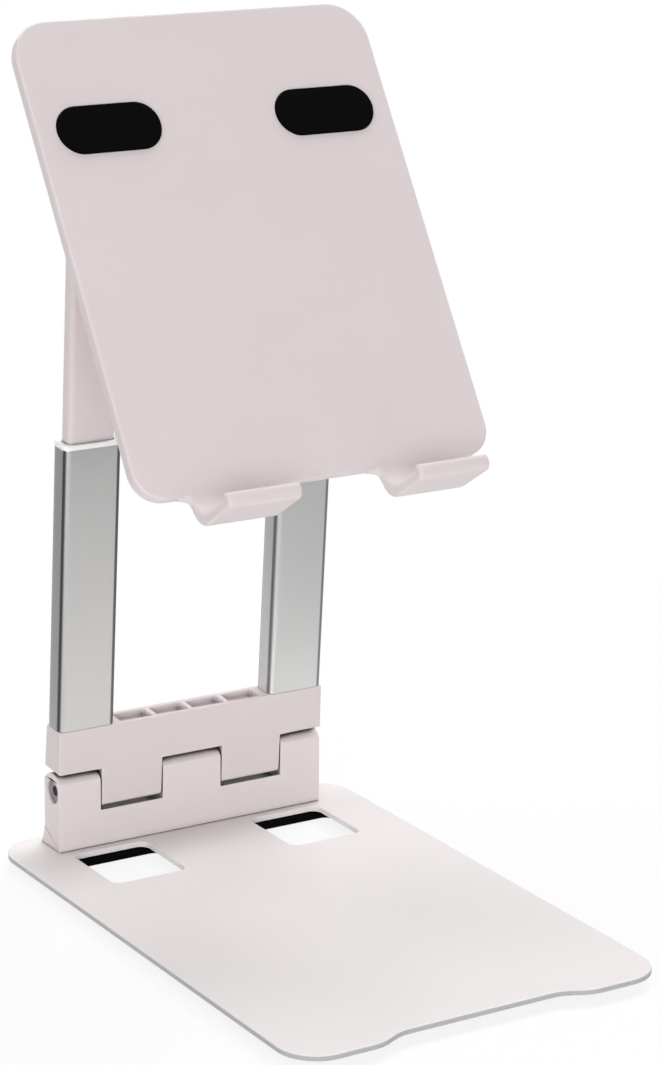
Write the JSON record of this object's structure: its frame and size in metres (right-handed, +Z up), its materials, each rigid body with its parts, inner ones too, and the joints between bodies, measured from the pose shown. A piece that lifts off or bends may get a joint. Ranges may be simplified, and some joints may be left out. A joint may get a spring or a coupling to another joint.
{
  "type": "phone stand",
  "caption": "Folding desktop phone stand: flat weighted base, hinged arm with telescoping legs, and a tilting plate with hooks and soft pads.",
  "frame": {"origin": "centre of the base's footprint, on the surface that the stand rests on", "axes": "+Z up, +X to the right and +Y away for someone facing the phone"},
  "size_m": [0.08, 0.12, 0.1701],
  "materials": {
    "painted_steel": "satin powder coat",
    "shell_plastic": "fine matte, warm pale pink grey",
    "anodised_aluminium": "satin anodised",
    "black_silicone": "matte",
    "white_plastic": "smooth moulded",
    "nylon": "natural",
    "steel": "plated",
    "bracket_metal": "die cast, painted to match the plate"
  },
  "bodies": {
    "base": {"base_plate": "painted_steel", "base_mat": "black_silicone", "riser_block": "shell_plastic", "base_screws": "steel", "fold_pin": "steel", "fold_pin_nut": "steel", "fold_washers": "nylon"},
    "arm": {"yoke_block": "shell_plastic", "left_sleeve": "anodised_aluminium", "right_sleeve": "anodised_aluminium", "left_collar": "white_plastic", "right_collar": "white_plastic", "sleeve_screws": "steel"},
    "legs": {"left_leg": "shell_plastic", "right_leg": "shell_plastic", "left_shoe": "white_plastic", "right_shoe": "white_plastic", "friction_pads": "black_silicone", "leg_bridge": "shell_plastic", "bridge_screws": "steel", "tilt_pin": "steel", "tilt_pin_nut": "steel", "tilt_washers": "nylon"},
    "plate": {"phone_plate": "shell_plastic", "left_pad": "black_silicone", "right_pad": "black_silicone", "hinge_bracket": "bracket_metal", "bracket_screws": "steel"}
  },
  "joints": [
    {"name": "arm_fold", "type": "hinge", "parent": "base", "child": "arm", "pos_m": [0, 0.0527, 0.01545], "axis": [1, 0, 0], "range_deg": [-12, 46]},
    {"name": "height_slide", "type": "slide", "parent": "arm", "child": "legs", "axis": [0, -0.0698, 0.9976], "range_m": [-0.0425, 0]},
    {"name": "plate_tilt", "type": "hinge", "parent": "legs", "child": "plate", "pos_m": [0, 0.04367, 0.14453], "axis": [1, 0, 0], "range_deg": [-54, 35]}
  ]
}
